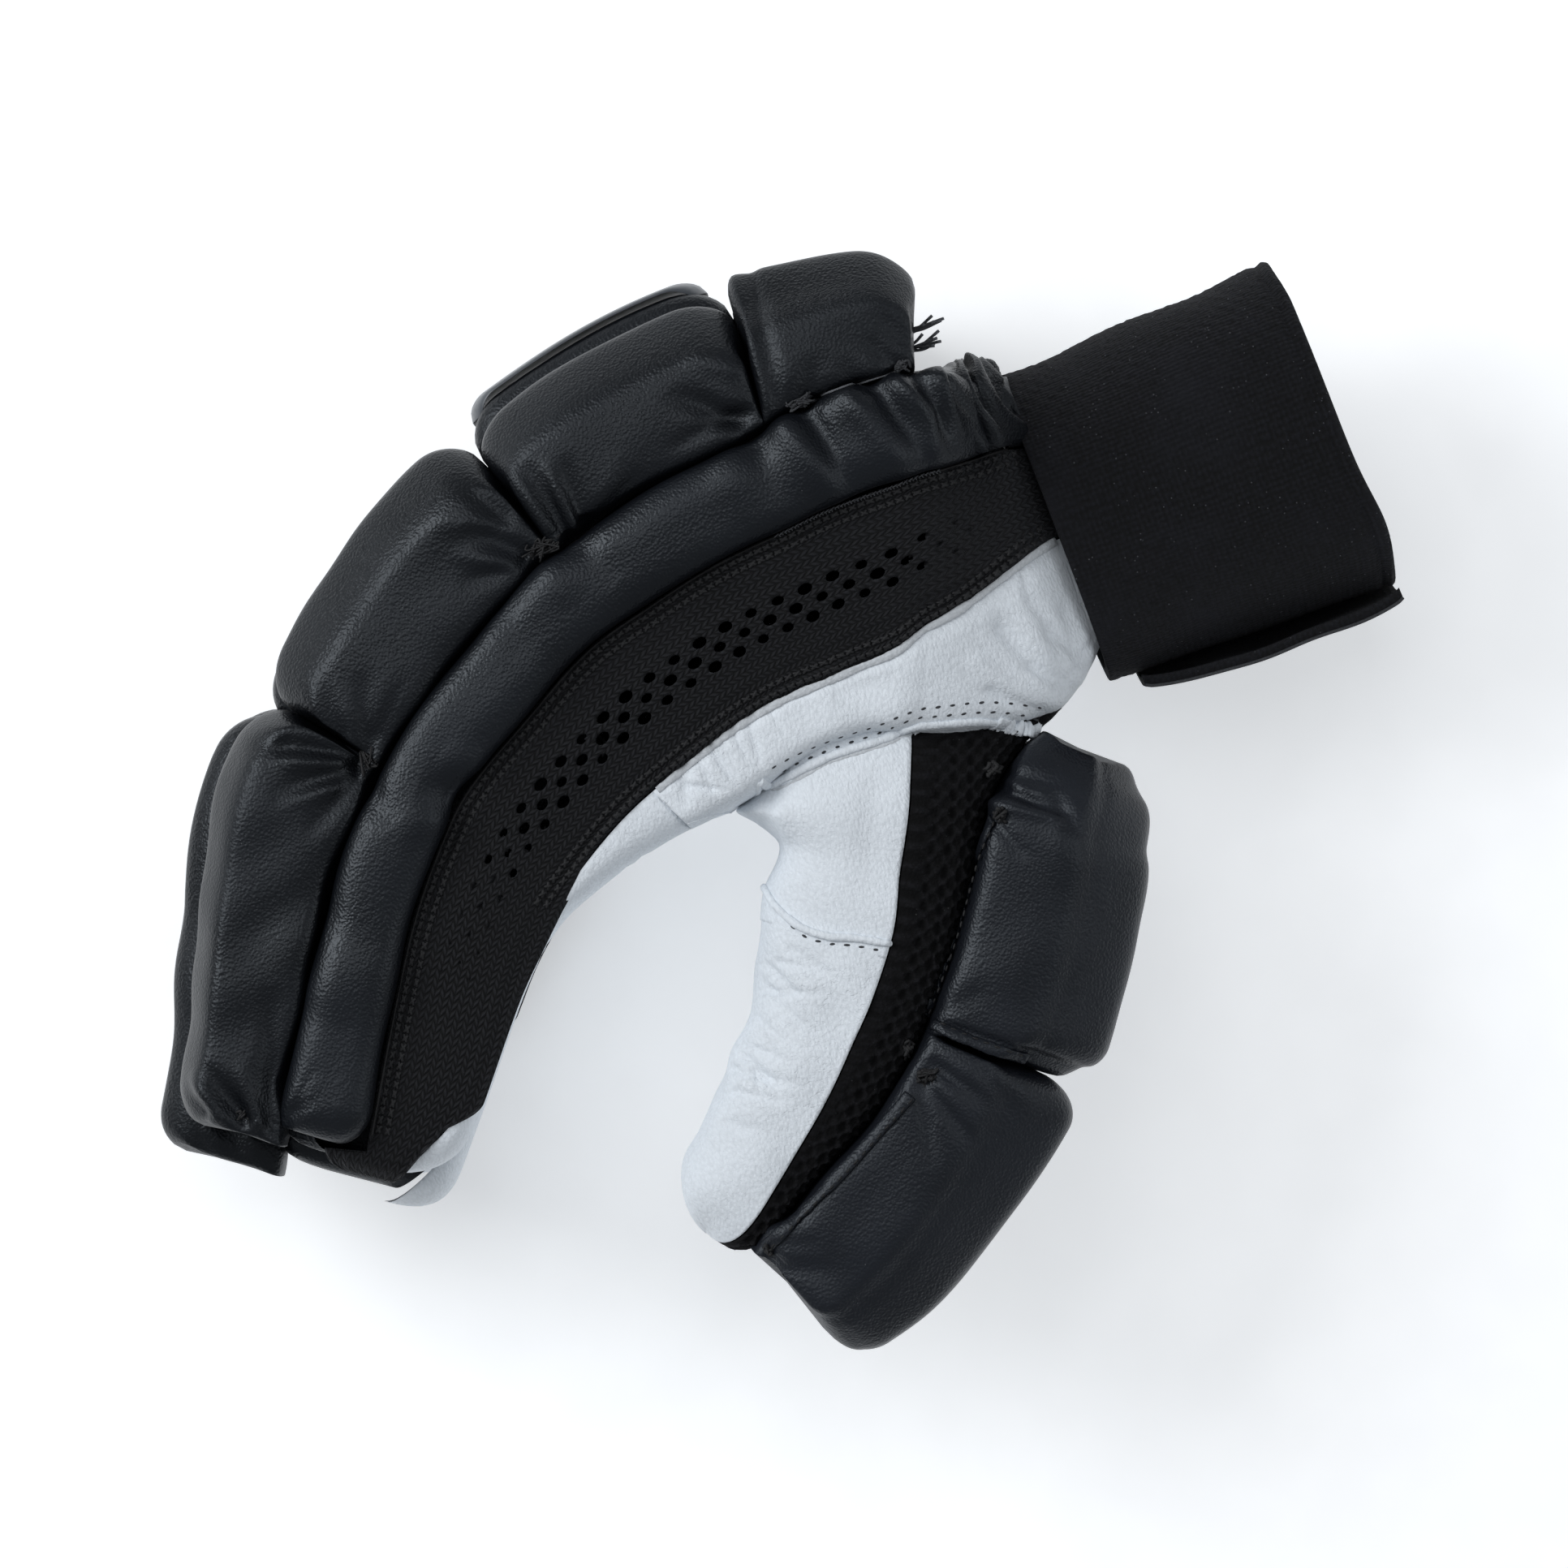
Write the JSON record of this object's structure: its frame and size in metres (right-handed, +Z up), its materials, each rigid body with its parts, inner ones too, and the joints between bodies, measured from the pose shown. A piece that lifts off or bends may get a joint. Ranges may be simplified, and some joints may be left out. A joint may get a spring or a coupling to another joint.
{
  "type": "cricket batting glove",
  "caption": "Padded right-hand batting glove with rounded finger and thumb rolls, mesh sides, a leather palm and a flattened wristband tube open at the arm end.",
  "frame": {"origin": "centre of the bounding box, on the surface that the glove lies on", "axes": "+Z up; the wristband's tube runs along X with the arm end towards +X; the back of the hand faces +Y at the wristband, and the fingers and thumb curl towards -Y"},
  "size_m": [0.316, 0.2512, 0.105],
  "materials": {
    "black_roll_leather": "soft black coated leather with a fine grain and a low sheen",
    "black_bar_leather": "soft black coated leather with a fine grain",
    "white_leather": "pale bluish white glove leather with a fine grain, matt",
    "black_mesh": "black knitted mesh, matt",
    "towelling": "black brushed towelling, very matt",
    "plate": "thin grey-blue plastic, glossy"
  },
  "bodies": {
    "root": {"wristband": "towelling", "closure_tab": "towelling", "palm_leather": "white_leather", "hand_back": "black_mesh", "wrist_skirt": "black_bar_leather", "index_gusset": "black_mesh", "little_gusset": "black_mesh", "index_side_bar": "black_bar_leather", "little_side_bar": "black_bar_leather", "back_plate": "plate", "little_finger_leather": "white_leather", "little_finger_back": "black_mesh", "little_cuff_roll": "black_roll_leather", "little_hand_roll": "black_roll_leather", "little_knuckle_roll": "black_roll_leather", "little_tip_roll": "black_roll_leather", "ring_finger_leather": "white_leather", "ring_finger_back": "black_mesh", "ring_cuff_roll": "black_roll_leather", "ring_hand_roll": "black_roll_leather", "ring_knuckle_roll": "black_roll_leather", "ring_tip_roll": "black_roll_leather", "middle_finger_leather": "white_leather", "middle_finger_back": "black_mesh", "middle_cuff_roll": "black_roll_leather", "middle_hand_roll": "black_roll_leather", "middle_knuckle_roll": "black_roll_leather", "middle_tip_roll": "black_roll_leather", "index_finger_leather": "white_leather", "index_finger_back": "black_mesh", "index_cuff_roll": "black_roll_leather", "index_hand_roll": "black_roll_leather", "index_knuckle_roll": "black_roll_leather", "index_tip_roll": "black_roll_leather", "thumb_base_leather": "white_leather", "thumb_tip_leather": "white_leather", "thumb_gusset": "black_mesh", "thumb_upper_roll": "black_roll_leather", "thumb_lower_roll": "black_roll_leather"}
  },
  "joints": []
}
